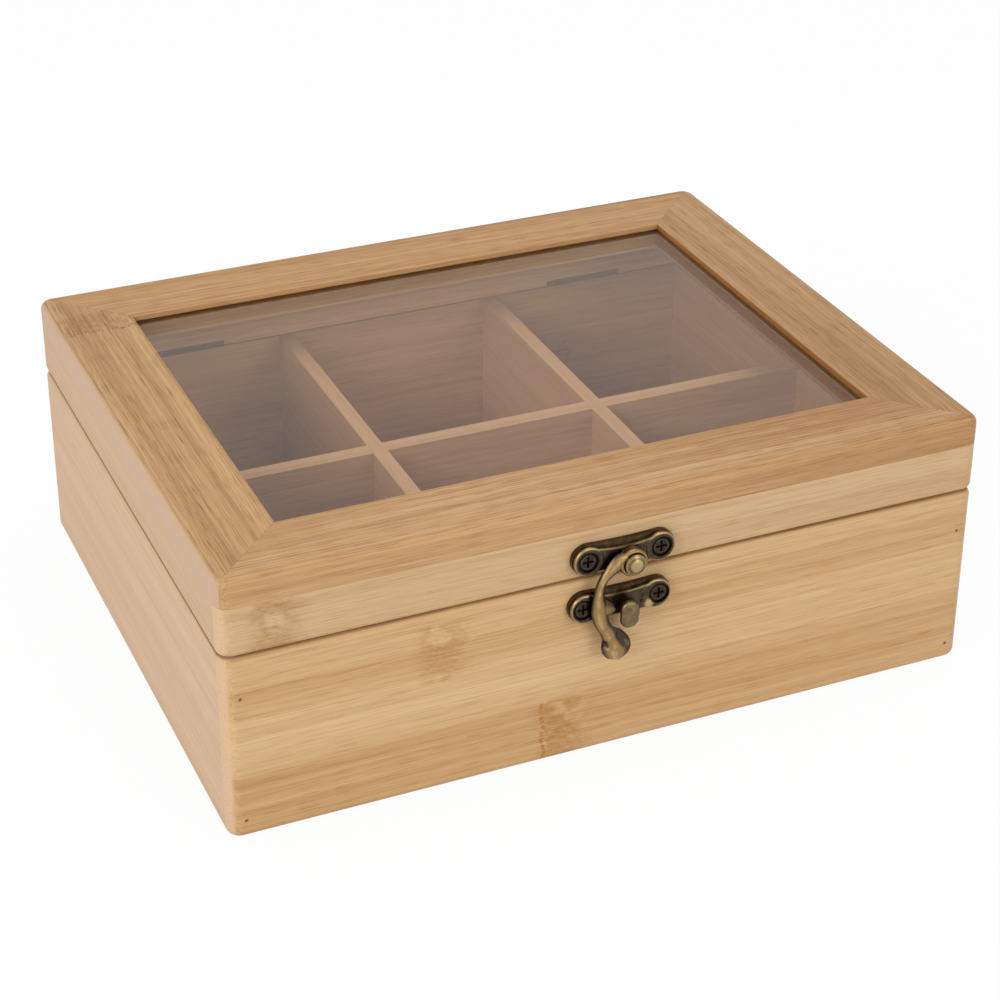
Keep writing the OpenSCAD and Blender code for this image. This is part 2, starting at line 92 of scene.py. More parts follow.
# %% Value: a socket that takes part in sums
class Value:
    """What one socket gives. The signs + - * / add Math nodes."""

    def __init__(self, finish, socket):
        self.finish = finish
        self.socket = socket

    def maths(self, operation, *others):
        terms = dict(enumerate((self, *others)))
        return self.finish.node("ShaderNodeMath", {"operation": operation}, terms)

    def __add__(self, other):
        return self.maths("ADD", other)

    def __sub__(self, other):
        return self.maths("SUBTRACT", other)

    def __mul__(self, other):
        return self.maths("MULTIPLY", other)

    def __truediv__(self, other):
        return self.maths("DIVIDE", other)

    def __rsub__(self, other):
        return self.finish.node("ShaderNodeMath", {"operation": "SUBTRACT"}, {0: other, 1: self})

    def __abs__(self):
        return self.maths("ABSOLUTE")

    __radd__ = __add__
    __rmul__ = __mul__

    def step(self, low, high):
        """0 below low, 1 above high, a soft step between; the other way round if low > high."""
        settings = {"interpolation_type": "SMOOTHSTEP"}
        sockets = {"Value": self, "From Min": low, "From Max": high}
        return self.finish.node("ShaderNodeMapRange", settings, sockets)


print("Value ready")


# %% Finish: one tree of nodes
class Finish:
    """The nodes of one material, or of the surroundings."""

    def __init__(self, owner):
        owner.use_nodes = True
        self.owner = owner
        self.tree = owner.node_tree
        self.tree.nodes.clear()

    def node(self, kind, settings=None, sockets=None, output=0):
        """Adds a node, sets it up, fills its sockets with values or links, gives one output."""
        made = self.tree.nodes.new(kind)
        for key, setting in (settings or {}).items():
            if key == "stops":
                for stop, colour in zip(made.color_ramp.elements, setting):
                    stop.color = colour
            else:
                setattr(made, key, setting)
        for key, given in (sockets or {}).items():
            if isinstance(given, Value):
                self.tree.links.new(given.socket, made.inputs[key])
            else:
                made.inputs[key].default_value = given
        return Value(self, made.outputs[output]) if len(made.outputs) else made

    def mix(self, share, first, second, blend="MIX"):
        """A colour between two, by Blender's own Mix node."""
        settings = {"data_type": "RGBA", "blend_type": blend}
        return self.node("ShaderNodeMix", settings, {0: share, 6: first, 7: second}, 2)

    def split(self, vector):
        """The three parts of a vector, as values."""
        return [self.node("ShaderNodeSeparateXYZ", None, {0: vector}, axis) for axis in "XYZ"]

    def place(self):
        """The point on the surface in millimetres, as three values."""
        point = self.node("ShaderNodeTexCoord", output="Object")
        sockets = {0: point, "Scale": 1 / MM}
        return self.split(self.node("ShaderNodeVectorMath", {"operation": "SCALE"}, sockets))

    def facing(self):
        """How far the surface faces along each axis, 0 to 1, as three values."""
        return [abs(part) for part in self.split(self.node("ShaderNodeTexCoord", output="Normal"))]

    def point(self, x, y, z):
        return self.node("ShaderNodeCombineXYZ", None, {"X": x, "Y": y, "Z": z})

    def noise(self, point, detail=2.0, rough=0.5, scale=1.0):
        sockets = {"Vector": point, "Scale": scale, "Detail": detail, "Roughness": rough}
        return self.node("ShaderNodeTexNoise", None, sockets)

    def surface(self, colour, roughness, bump, depth, **fixed):
        """Ends the tree in a Principled BSDF; depth is the height of the bumps in millimetres."""
        settings = {"Height": bump, "Strength": 1.0, "Distance": depth * MM}
        normal = self.node("ShaderNodeBump", None, settings)
        sockets = {"Base Color": colour, "Roughness": roughness, "Normal": normal}
        sockets.update({key.replace("_", " "): setting for key, setting in fixed.items()})
        skin = self.node("ShaderNodeBsdfPrincipled", None, sockets)
        self.node("ShaderNodeOutputMaterial", None, {"Surface": skin})
        return self.owner


print("Finish ready")

# %% [markdown]
# Three helpers follow. The first starts an empty finish. The second turns a colour as a painter
# names it into the linear light that Blender reckons in. The third gives a finish to pieces of
# the construction model: it fills their material slots, so their meshes stay as they are.

# %% New finishes, colours, and giving them to pieces
def new_finish(name):
    return Finish(bpy.data.materials.new(name))


def tint(red, green, blue, level=1.0):
    """A colour as a painter names it, 0 to 255, turned into Blender's linear light."""
    def linear(part):
        part = part * level / 255
        return part / 12.92 if part <= 0.04045 else ((part + 0.055) / 1.055) ** 2.4
    return (linear(red), linear(green), linear(blue), 1.0)


def dress(material, *names):
    """Gives construction pieces a finish. Their own meshes stay as they are."""
    for name in names:
        for slot in nodes[name].material_slots:
            slot.material = material
    print(material.name, "on", ", ".join(names))


print("mid grey is", round(tint(128, 128, 128)[0], 3), "in linear light")

# %% [markdown]
# ## Bamboo
#
# A bamboo board is glued up from strips about 18 mm wide. Each strip comes from its own stalk, so
# its tone differs a little from its neighbour's. Along the grain run soft bands, fine fibres and
# short dark dashes, which are the vessels of the stalk cut lengthwise. An image of wood would have
# to be wrapped round each board. Noise in three dimensions, drawn out along the grain, needs no
# wrapping: it gives long streaks on the faces and dots on the end grain, just as a real board does.
# The finish works with three distances: u along the grain, v across the strips, w through them.

# %% Fibres
# Each layer: how fast it changes along the grain and across it, its detail, its roughness
BANDS = (0.002, 0.15, 1.0, 0.5)
STREAKS = (0.005, 0.62, 2.0, 0.5)
FIBRES = (0.014, 2.1, 2.0, 0.6)
HAIRS = (0.060, 5.2, 1.0, 0.5)
VESSELS = (0.11, 4.0, 0.0, 0.5)


def fibres(finish, u, v, w, own, weights):
    """The tone that the fibres give, about 0, and the fine part of it for the bumps."""
    def layer(along, sideways, detail, rough):
        point = finish.point(u * along, v * sideways, w * sideways + own)
        return finish.noise(point, detail, rough) - 0.5
    band, streak, fibre = weights
    fine = layer(*FIBRES)
    vessels = layer(*VESSELS).step(0.08, 0.20)
    thin = fine * 0.7 + layer(*HAIRS) * 0.5 + vessels * 0.3
    return layer(*BANDS) * band + layer(*STREAKS) * streak + thin * fibre, fine - vessels * 0.5


print("a fibre is about", round(1 / FIBRES[1], 1), "mm wide and", round(1 / FIBRES[0]), "mm long")

# %% [markdown]
# The strips are numbered by rounding down. The number moves each strip to its own part of the
# noise, and it picks the strip's tone by chance, yet always the same chance. A faint dark line
# shows where two strips are glued.

# %% Strips
SWAY = 2.0  # no strip is quite straight
GLUE = 0.3  # how wide a glue line is


def strips(finish, u, v, w, width, phase, seed):
    """v with its sway, a place in the noise for each strip, and the tone that the strips add."""
    sway = finish.noise(finish.point(u * 0.006, v * 0.02, w * 0.02 + seed), 1.0) - 0.5
    v = v + sway * SWAY
    count = (v + phase) / width
    number = count.maths("FLOOR")
    kind, settings = "ShaderNodeTexWhiteNoise", {"noise_dimensions": "1D"}
    luck = finish.node(kind, settings, {"W": number + seed * 7.31}) - 0.5
    edge = abs(count.maths("FRACT") - 0.5).step(0.5 - GLUE / width, 0.5)
    return v, number * 5.3 + seed, luck * 0.16 + edge * 0.08


print("glue lines", GLUE, "mm wide, strips that sway by", SWAY / 2, "mm")

# %% [markdown]
# Once in about 250 mm a stalk has a node. On a planed board it shows as a mottled cloud, where the
# fibres curl, and often as a cross line of small pits. Every node is listed, because a
# board shows only one or two of them.

# %% A node of the stalk
RIPPLE = 4.0  # how far the cross line strays


def stalk_node(finish, u, v, w, own, at, low, high, way, line, cloud):
    """The tone of a node at u = at, between v = low and high; its cloud lies towards way."""
    def speckle(along, sideways, *more, slant=0.0):
        start = u * along + v * slant if slant else u * along
        return finish.noise(finish.point(start, v * sideways, w * sideways + own), *more)
    off = (u - at + (speckle(0.05, 0.32, 2.0) - 0.5) * RIPPLE) * way
    pale = speckle(0.16, 0.20, 1.0).step(0.50, 0.66)
    curl = speckle(0.6, 1.1, 3.0, 0.65, slant=0.4).step(0.30, 0.70)
    pits = speckle(0.5, 1.7, 0.0).step(0.44, 0.56)
    inside = v.step(low - 1.2, low + 1.2) * v.step(high + 1.2, high - 1.2)
    cross = inside * abs(off).step(0.75, 0.25) * pits * line
    patch = inside * off.step(-3.5, 3.0) * off.step(17.0, 6.0)
    return cross + patch * (curl * 0.7 + 0.3 - pale * 0.7) * cloud, cross


print("nodes of the stalk ready")

# %% [markdown]
# ### Dark joints and painted shade
#
# Dust and lacquer gather where pieces meet, so every joint shows as a thin dark line. Along the
# lid's closing edge the line is also painted shade, that of the narrow gap between lid and box.
# The lid closes along the top edge of the box, the mitres of the top frame run in from its corners
# at 45 degrees, and the side boards stop short of the front. How far a point lies from such a line
# is a number, so a soft step turns it into a mark. The flat faces that meet when the lid closes
# stay clean.

# %% Where the joints are
def outside(place):
    """1 on the outer faces of the box, 0 on the faces round the compartments."""
    past = BOARD - 1.0, BOARD - 3.0
    wide = abs(place["X"]).step(*(HALF_WIDTH - inset for inset in past))
    return wide.maths("MAXIMUM", abs(place["Y"]).step(*(HALF_DEPTH - inset for inset in past)))


def seam(place, facing, edge, fade, dark):
    """A line along the closing edge, fading out from dark to fade millimetres away from it.
    It is a dark joint, and partly painted shade of the gap between lid and box.
    """
    upright = facing["Z"].step(0.99, 0.93)
    return place["Z"].step(edge + fade, edge + dark) * outside(place) * upright


def below_lid(place, facing):
    return seam(place, facing, CLOSING, -0.35, 0.0) * 0.6


def above_box(place, facing):
    return seam(place, facing, LID_LOW, 0.35, 0.0) * 0.6


def side_ends(place, facing):
    """The closing edge of a side board, and the lines where boards lap over its ends."""
    ends = abs(abs(place["Y"]) - SIDE_STOP).step(0.28, 0.08) * 0.3
    return seam(place, facing, CLOSING, -0.6, -0.2).maths("MAXIMUM", ends)


def lid_side_ends(place, facing):
    ends = abs(abs(place["Y"]) - SIDE_STOP).step(0.28, 0.08) * 0.3
    return seam(place, facing, LID_LOW, 0.5, 0.1).maths("MAXIMUM", ends)


def mitres(place, facing):
    off = abs(place["X"]) - HALF_WIDTH - (abs(place["Y"]) - HALF_DEPTH)
    return abs(off).step(0.35, 0.10) * 0.22


print("joints at", CLOSING, "and", LID_LOW, "mm up, side boards end at", SIDE_STOP)

# %% [markdown]
# ### A board's finish
#
# The fibres, strips and nodes add up to one number, the depth of the tone, and a ramp turns it
# into a colour between pale and deep. Then the faces part ways. A face across the grain shows cut
# ends as dots, a flank takes the tone of the sides, and the faces round the compartments are a
# little dimmer, a painted shade of the box's inside. The inner faces of the lid's back and sides
# get painted light instead.

# %% Faces that differ
# Dark joints; along the lid's closing edge this colour is also painted shade of the gap
JOINT_DARK_AND_GAP_SHADE = tint(128, 82, 40)
RAIL_EDGE = tint(226, 196, 160)  # dims the edge round the pane
INSIDE_SHADE = tint(245, 228, 211)  # painted shade on the faces round the compartments
BESIDE = (0.3, 0.9)  # how far a face turns from level before it counts as a flank


def end_grain(finish, colour, cut, u, v, w, own, tone, deep):
    """Cut ends: a dotted tone on the faces across the grain."""
    dots = finish.noise(finish.point(u, v * 2.2, w * 2.2 + own), 1.0).step(0.5, 0.7) * 0.2
    return finish.mix(cut, colour, finish.mix(dots, tone, deep))


def flanks(finish, colour, across, beside, tone):
    """The outer edge of a rail takes the tone of the sides; the edge round the pane is dimmer."""
    outer = abs(across).step(HALF_WIDTH - 12.5, HALF_WIDTH - 7.5)
    colour = finish.mix(beside * outer * 0.85, colour, tone)
    return finish.mix(beside * (1 - outer), colour, RAIL_EDGE, "MULTIPLY")


print("faces ready")


# %% The finish of one board
def bamboo(name, grain, across, pale, deep, weights, strip=18.0, phase=0.0, seed=0.0,
           shades=(), stalk_nodes=(), end=None, flank=None, marks=None, drift=None,
           inner=INSIDE_SHADE, side_calm=0.0):
    """grain and across name axes. shades are (low, high, amount) across the grain, and drift is
    (from, to, amount) along it. end and flank are the tones of faces across and beside the
    grain, and side_calm, 0 to 1, quietens the grain beside it. marks adds dark joints, partly
    painted shade along the lid's gap. inner tints the faces round the compartments: painted
    shade, or painted light where its values pass 1."""
    finish = new_finish(name)
    place = dict(zip("XYZ", finish.place()))
    facing = dict(zip("XYZ", finish.facing()))
    u, v = place[grain], place[across]
    w = next(place[axis] for axis in "XYZ" if axis not in (grain, across))
    v, own, uneven = strips(finish, u, v, w, strip, phase, seed)
    tone, fine = fibres(finish, u, v, w, own, weights)
    if side_calm:
        tone = tone * (1 - facing[across].step(*BESIDE) * side_calm)
    depth = tone + uneven + 0.42
    for low, high, amount in shades:
        depth = depth + v.step(low - 3.0, low + 1.0) * v.step(high + 3.0, high - 1.0) * amount
    if drift:
        depth = depth + u.step(drift[0], drift[1]) * drift[2]
    for spot in stalk_nodes:
        mottle, cross = stalk_node(finish, u, v, w, own, *spot)
        depth = depth + mottle
        fine = fine - cross
    colour = finish.node("ShaderNodeValToRGB", {"stops": (pale, deep)}, {"Fac": depth})
    if end is not None:
        cut = facing[grain].step(0.4, 0.75)
        colour = end_grain(finish, colour, cut, u, v, w, own, end, deep)
        fine = fine * (1 - cut)
    if flank is not None:
        colour = flanks(finish, colour, place[across], facing[across].step(*BESIDE), flank)
    if inner is not None:
        colour = finish.mix(1 - outside(place), colour, inner, "MULTIPLY")
    if marks is not None:
        colour = finish.mix(marks(place, facing) * 0.8, colour, JOINT_DARK_AND_GAP_SHADE)
    return finish.surface(colour, 0.08 * fine + 0.46, fine, 0.012, Specular_IOR_Level=0.22)


print("a board's finish ready")

# %% [markdown]
# ### Tones
#
# A finish goes from a pale tone to a deep one. The front is the warmest. The sides and the boards
# inside are cooler, and their two tones lie closer together. Three sets of weights say how lively
# the grain is.

# %% Tones and weights
FRONT_PALE, FRONT_DEEP = tint(223, 192, 146), tint(170, 121, 66)
SIDE_PALE, SIDE_DEEP = tint(217, 182, 146), tint(176, 137, 99)
END_TONE = tint(211, 176, 140)
RAIL_FLANK = tint(200, 166, 136)
INNER_PALE, INNER_DEEP = tint(222, 188, 152), tint(176, 136, 100)
PAINTED_LIGHT_INSIDE = tint(255, 246, 232, 1.12)  # painted light on the inner faces of the lid's rim, which lie in shade under the rails
# How strong the bands, the streaks and the fibres are
CALM = (0.48, 0.42, 0.62)
LIVELY = (0.75, 0.72, 1.42)
QUIET = (0.45, 0.45, 0.70)
print("grain, calm to lively:", QUIET, CALM, LIVELY)

# %% [markdown]
# ### The box
#
# The front and back boards have their grain along the width, and the side boards along the depth.
# A node of the stalk is given by its place along the grain, the two places across the grain
# between which it lies, the way in which its cloud spreads, and the strength of its cross line
# and its cloud.

# %% Boards of the box
dress(bamboo("bamboo_front_board", "X", "Z", FRONT_PALE, FRONT_DEEP, CALM, seed=3.0,
             shades=[(-5.0, 17.5, 0.20), (38.0, 60.0, 0.06)], end=END_TONE, marks=below_lid,
             stalk_nodes=[(-55.0, 33.0, 51.0, 1, 0.0, 0.30), (-21.5, -2.0, 19.0, 1, 0.55, 0.36)]),
      "box_front_board")
dress(bamboo("bamboo_back_board", "X", "Z", FRONT_PALE, FRONT_DEEP, CALM, seed=12.0,
             # The drift paints light on the back board towards the left, where its inner face lies
             # in shade
             end=END_TONE, marks=below_lid, drift=(-20.0, -75.0, -0.32),
             stalk_nodes=[(61.0, 18.0, 36.0, -1, 0.4, 0.3)]),
      "box_back_board")
dress(bamboo("bamboo_left_side", "Y", "Z", SIDE_PALE, SIDE_DEEP, QUIET, seed=33.0,
             marks=side_ends),
      "box_left_board")
dress(bamboo("bamboo_right_side", "Y", "Z", SIDE_PALE, SIDE_DEEP, QUIET, seed=36.0,
             # A deeper painted shade on the inner face of the right side board
             marks=side_ends, inner=tint(234, 209, 181),
             stalk_nodes=[(20.0, 0.0, 18.0, 1, 0.3, 0.3)]),
      "box_right_board")

# %% [markdown]
# The long divider and the two cross dividers slot into each other and part the box into six.
# They are thin boards without lacquer, so their grain is quiet and their strips are wider.

# %% Dividers and base
dress(bamboo("bamboo_long_divider", "X", "Z", INNER_PALE, INNER_DEEP, QUIET, 24.0, seed=42.0),
      "long_divider")
dress(bamboo("bamboo_cross_dividers", "Y", "Z", INNER_PALE, INNER_DEEP, QUIET, 24.0, seed=45.0),
      "cross_divider_left", "cross_divider_right")
dress(bamboo("bamboo_base", "X", "Y", INNER_PALE, INNER_DEEP, CALM, 24.0, seed=48.0),
      "box_base_panel")

# %% [markdown]
# ### The lid
#
# Low boards make the rim of the lid, and four mitred rails lie on them as a frame. The rails come
# from the outer wall of the stalk, where the fibres are densest, so their grain is livelier.
# Their outer edges show the same fibres from the side, and there they look calmer.

# %% Boards of the lid
dress(bamboo("bamboo_lid_rim_front", "X", "Z", tint(218, 186, 144), tint(164, 122, 76), CALM,
             phase=17.5, seed=8.0, end=END_TONE, marks=above_box,
             stalk_nodes=[(-99.0, 53.0, 70.0, 1, 0.0, 0.42)]),
      "lid_rim_front")
dress(bamboo("bamboo_lid_rim_back", "X", "Z", FRONT_PALE, FRONT_DEEP, CALM,
             phase=17.5, seed=15.0, end=END_TONE, marks=above_box, inner=PAINTED_LIGHT_INSIDE),
      "lid_rim_back")
dress(bamboo("bamboo_lid_sides", "Y", "Z", tint(212, 176, 139), tint(170, 130, 92), QUIET,
             phase=17.5, seed=39.0, marks=lid_side_ends, inner=PAINTED_LIGHT_INSIDE),
      "lid_rim_left", "lid_rim_right")


# %% Rails of the top frame
def rail(name, grain, across, level, phase, seed, piece, pale=(211, 169, 117), **more):
    """A rail of the top frame; level makes it paler or deeper."""
    finish = bamboo(name, grain, across, tint(*pale, level), tint(152, 104, 54, level), LIVELY,
                    20.0, phase, seed, marks=mitres, inner=None, side_calm=0.5, **more)
    dress(finish, piece)


rail("bamboo_frame_front", "X", "Y", 0.99, 84.0, 21.0, "lid_frame_front",
     pale=(211, 173, 126), drift=(-20.0, 90.0, 0.2))
rail("bamboo_frame_back", "X", "Y", 0.965, -66.0, 24.0, "lid_frame_back")
rail("bamboo_frame_left", "Y", "X", 0.93, 106.0, 27.0, "lid_frame_left", flank=RAIL_FLANK,
     stalk_nodes=[(58.0, -110.0, -85.0, 1, 0.70, 0.38)])
rail("bamboo_frame_right", "Y", "X", 0.90, -86.0, 30.0, "lid_frame_right", flank=RAIL_FLANK,
     drift=(60.0, -70.0, 0.12))

# %% [markdown]
# ## The clear pane
#
# The pane is a sheet of clear plastic, 2 mm thick. Real refraction would leave the compartments
# almost black, because light that has to bend on its way in is hard to trace. A thin sheet hardly
# bends light at all, so the finish lets light straight through and lays a mirror-smooth gloss over
# it, weak face on and stronger at a slant. Blender's Fresnel node would turn the back of the sheet
# into a full mirror, because it reckons with light that is caught inside, so the slant comes from
# the Layer Weight node, which treats both sides alike, by the rule of thumb that gloss grows with
# the fifth power of the slant.

# %% The pane's finish
FACE_ON = 0.04  # the share of light that a clear sheet throws back face on


def clear_pane():
    finish = new_finish("clear_pane")
    through = finish.node("ShaderNodeBsdfTransparent", None, {"Color": (0.97, 0.96, 0.94, 1)})
    gloss = finish.node("ShaderNodeBsdfGlossy", None,
                        {"Color": (0.80, 0.78, 0.74, 1), "Roughness": 0.03})
    slant = finish.node("ShaderNodeLayerWeight", None, {"Blend": 0.5}, "Facing")
    share = slant.maths("POWER", 5.0) * (1 - FACE_ON) + FACE_ON
    both = finish.node("ShaderNodeMixShader", None, {0: share, 1: through, 2: gloss})
    finish.node("ShaderNodeOutputMaterial", None, {"Surface": both})
    return finish.owner


dress(clear_pane(), "lid_pane")

# %% [markdown]
# ## Metal fittings
#
# The fittings are zinc castings with an antique brass plating: nearly black-brown all over, with
# a yellow metal that shows where hands and polishing have worn the edges. Each fitting needs to
# know where its edges are. The plates are long ovals, so the distance from an oval's middle line
# tells how near the rim a point lies.

# %% Where the fittings sit
LATCH_X, LATCH_Z = middle("latch_screws")
STRIKE_X, STRIKE_Z = middle("strike_screws")
PIVOT_X, PIVOT_Z = middle("latch_rivet")
LOBE, LOBE_SPAN = 4.4, 10.1  # radius and place of the round ends of both plates
LATCH_SCREWS, STRIKE_SCREWS = 10.4, 10.8  # how far the screws sit from the middle
LATCH_DIP, STRIKE_DIP = 1.4, 1.2  # how far the plates' top edges dip between the ends
SCREW_HEAD = 2.1
print("the hook turns at", (PIVOT_X, PIVOT_Z), "mm")

# %% Antique brass
DARK_BRASS = tint(60, 50, 42)
WORN_BRASS = tint(186, 160, 112)
SOOT = tint(22, 17, 13)
# Two noises, each with its detail, its roughness and its scale in changes for each millimetre
CLOUD = (3.0, 0.6, 0.7)
GRIT = (1.0, 0.5, 3.2)


def cast_brass(name, worn, near=None, rough=0.34, dark=DARK_BRASS, bright=WORN_BRASS, metal=1.0):
    """near gives, from the finish and the place, how worn the brass is, with painted highlights and
    light in places; below 0 it is sooty.
    """
    finish = new_finish(name)
    x, y, z = finish.place()
    cloud = finish.noise(finish.point(x, y, z), *CLOUD)
    grit = finish.noise(finish.point(x, y, z), *GRIT)
    share = (cloud - 0.5) * 0.5 + worn
    if near is not None:
        share = share + near(finish, x, y, z)
    colour = finish.mix(share.step(0.0, 1.0), dark, bright)
    colour = finish.mix(share.step(0.0, -0.5), colour, SOOT)
    bumps = cloud + grit * 0.5
    return finish.surface(colour, 0.2 * cloud + rough - 0.1, bumps, 0.02, Metallic=metal)


def away_from(x, z, middle_x, middle_z, half_span=0.0):
    """The distance from the nearer of two points that lie half_span left and right of a middle."""
    beside = abs(x - middle_x) - half_span
    up = z - middle_z
    return (beside * beside + up * up).maths("SQRT")


print("worn brass is", round(WORN_BRASS[0] / DARK_BRASS[0]), "times as bright as dark brass")


# %% The two plates
def plate_wear_and_highlight(middle_x, middle_z, half_span, dip):
    """Worn along the rim, a painted highlight along the top edge, sooty round the screws."""
    def near(finish, x, y, z):
        front = y.step(-HALF_DEPTH - 1.6, -HALF_DEPTH - 2.2)
        outer = abs(x - middle_x).step(LOBE_SPAN - 3.5, LOBE_SPAN - 1.5)
        away = away_from(x, z, middle_x, middle_z, LOBE_SPAN)
        rim = away.step(LOBE - 0.9, LOBE - 0.4) * outer
        inward = x - middle_x
        # A painted highlight along the top edge, where light from above falls
        top = z - inward * inward * (dip / LOBE_SPAN ** 2) - (middle_z + LOBE - 0.4 - dip)
        top_highlight = top.step(-0.7, -0.2) * (1 - outer)
        ring = away_from(x, z, middle_x, middle_z, half_span).step(3.1, 2.8)
        return (rim + top_highlight) * front * 0.5 + (1 - front) * 0.04 - ring * 0.5
    return near


PAINTED_HIGHLIGHT_SPOT = (7.3, 44.4)  # a painted highlight on the strike plate, beside the post


def strike_wear_and_light(finish, x, y, z):
    """The plate's own wear, painted light on the end of the post, and a painted highlight beside
    it.
    """
    # Painted light: the end of the post is made brighter
    post = y.step(-HALF_DEPTH - 3.0, -HALF_DEPTH - 4.2) * 0.22
    # Painted highlight: a bright spot beside the post
    spot = away_from(x, z, *PAINTED_HIGHLIGHT_SPOT).step(2.0, 0.2) * 0.9
    wear = plate_wear_and_highlight(STRIKE_X, STRIKE_Z, STRIKE_SCREWS, STRIKE_DIP)(finish, x, y, z)
    return wear + post + spot


dress(cast_brass("latch_brass", 0.14, plate_wear_and_highlight(LATCH_X, LATCH_Z, LATCH_SCREWS, LATCH_DIP)),
      "latch_plate")
dress(cast_brass("strike_brass", 0.14, strike_wear_and_light), "strike_plate")

# %% [markdown]
# The hinges are stamped from sheet and see no hands, so their plating is duller and even. A screw
# head is a dull disc in a sooty ring, because soot fills the gap round it. The rivet is bright on
# its dome and dark round it.

# %% Hinges, screws and the rivet
dress(cast_brass("hinge_brass", 0.42, rough=0.45, dark=tint(94, 78, 60), bright=tint(182, 156, 118),
                 metal=0.5),
      "hinge_left_box_leaf", "hinge_right_box_leaf", "hinge_left_lid_leaf", "hinge_right_lid_leaf",
      "hinge_left_pin", "hinge_right_pin")
dress(cast_brass("hinge_screw_brass", 0.5), "hinge_box_screws", "hinge_lid_screws")


def screw_wear(middle_x, middle_z, half_span):
    def near(finish, x, y, z):
        away = away_from(x, z, middle_x, middle_z, half_span)
        disc = away.step(SCREW_HEAD - 0.7, SCREW_HEAD - 0.2)
        return disc * 0.14 - away.step(SCREW_HEAD, SCREW_HEAD + 0.2) * 0.9
    return near


def dome(finish, x, y, z):
    away = away_from(x, z, PIVOT_X, PIVOT_Z)
    ring = away.step(1.5, 2.0) * away.step(2.5, 2.1)
    return away.step(2.6, 1.0) * 0.3 - ring * 0.3


dress(cast_brass("latch_screw_brass", 0.0, screw_wear(LATCH_X, LATCH_Z, LATCH_SCREWS)),
      "latch_screws")
dress(cast_brass("strike_screw_brass", 0.0, screw_wear(STRIKE_X, STRIKE_Z, STRIKE_SCREWS)),
      "strike_screws")
dress(cast_brass("rivet_brass", 0.5, dome, 0.30), "latch_rivet")

# %% [markdown]
# ### The swing hook
#
# The hook is cast, and its face is rounded like the back of a spoon: the crest runs near its outer
# edge, the inner side falls away, and the finger tab is dished on both sides of a ridge. The
# construction model has the same outline with a plain oval section, so the finer hook follows the
# same middle line. Rings of points are laid across that line, one after another, and joined.

# %% The middle line of the hook
# Each row: right of the pivot, up from it, half the width, lift towards the hand, half thickness
HOOK_ROWS = [
    (-1.7, 1.9, 1.6, 0.0, 0.9), (-4.0, 0.8, 2.4, 0.0, 1.0), (-7.2, -2.1, 1.6, 0.0, 1.0),
    (-9.0, -5.0, 1.3, 0.0, 1.0), (-9.5, -8.6, 1.7, 0.0, 1.0), (-9.1, -12.6, 2.5, 0.0, 1.0),
    (-8.6, -16.0, 2.1, 0.0, 1.0), (-7.0, -19.1, 2.0, 0.0, 1.0), (-5.3, -21.7, 3.3, 0.3, 1.0),
    (-4.4, -24.3, 4.2, 0.6, 1.0), (-4.0, -26.8, 3.0, 0.8, 0.8), (-3.9, -28.0, 0.6, 0.8, 0.4)]
SPUR_ROWS = [
    (-9.2, -12.4, 4.4, 0.0, 0.6), (-7.4, -12.5, 2.9, 0.0, 0.6),
    (-6.0, -12.6, 1.7, 0.0, 0.6), (-5.1, -12.7, 0.9, 0.0, 0.5), (-4.8, -12.7, 0.3, 0.0, 0.4)]
HOOK_MIDDLE = 3.9  # from the front of the box to the middle of the hook


def on_line(rows, along):
    """A row of the smooth curve through the rows."""
    first = min(int(along), len(rows) - 2)
    share = along - first
    before, start, after, beyond = [rows[min(max(first + shift, 0), len(rows) - 1)]
                                    for shift in (-1, 0, 1, 2)]
    return [b + share / 2 * (c - a + share * (2 * a - 5 * b + 4 * c - d
                                             + share * (3 * (b - c) + d - a)))
            for a, b, c, d in zip(before, start, after, beyond)]


print("hook line ready,", len(HOOK_ROWS), "rows")

# %% [markdown]
# The section of the hook is nearly flat behind and rounded in front, where its height is greatest
# at the crest and nothing at the edges. Dips like thumb prints are sunk into the face of the tab.
# The height above the edges also says how worn the brass is there, and so does the depth of a
# dip. The inner side of the face is also darkened, a painted shade. Each point keeps that as an
# attribute for the finish.

# %% The face of the hook
# Hollows of the tab: right of the pivot, up from it, radius, depth
HOLLOWS = [(-7.9, -23.3, 1.2, 1.5), (-3.2, -20.9, 1.5, 1.6), (-1.9, -22.8, 1.5, 1.1)]


def hollow_at(right, up):
    """How deep the hollows are at a point of the hook's face."""
    return sum(depth * math.exp(-((right - x) ** 2 + (up - z) ** 2) / radius ** 2)
               for x, z, radius, depth in HOLLOWS)


def section(side, high, right, up, thick, crest, polish):
    """The height of the section's rim at side and high, each -1 to 1, and how worn it is;
    the inner side is darkened too, a painted shade.
    """
    if high < 0:
        return -thick * abs(high) ** 0.8, 0.0
    reach = (side - crest) / (1 - crest) if side > crest else (crest - side) / (1 + crest)
    swell = 1 - reach ** 2
    height = thick * (0.25 * high ** 0.5 + 0.85 * swell * high ** 0.3)
    dip = min(hollow_at(right, up), 0.75 * (height + thick))
    # Towards the inner side, side above 0, the brass is darkened: painted shade
    return height - dip, polish * 0.97 * swell ** 1.3 - 0.25 * max(side, 0.0) - 0.9 * dip


print("deepest hollow", max(hollow[3] for hollow in HOLLOWS), "mm")

# %% Sweeping rings along the line
RING_POINTS = 40
RINGS_PER_ROW = 8


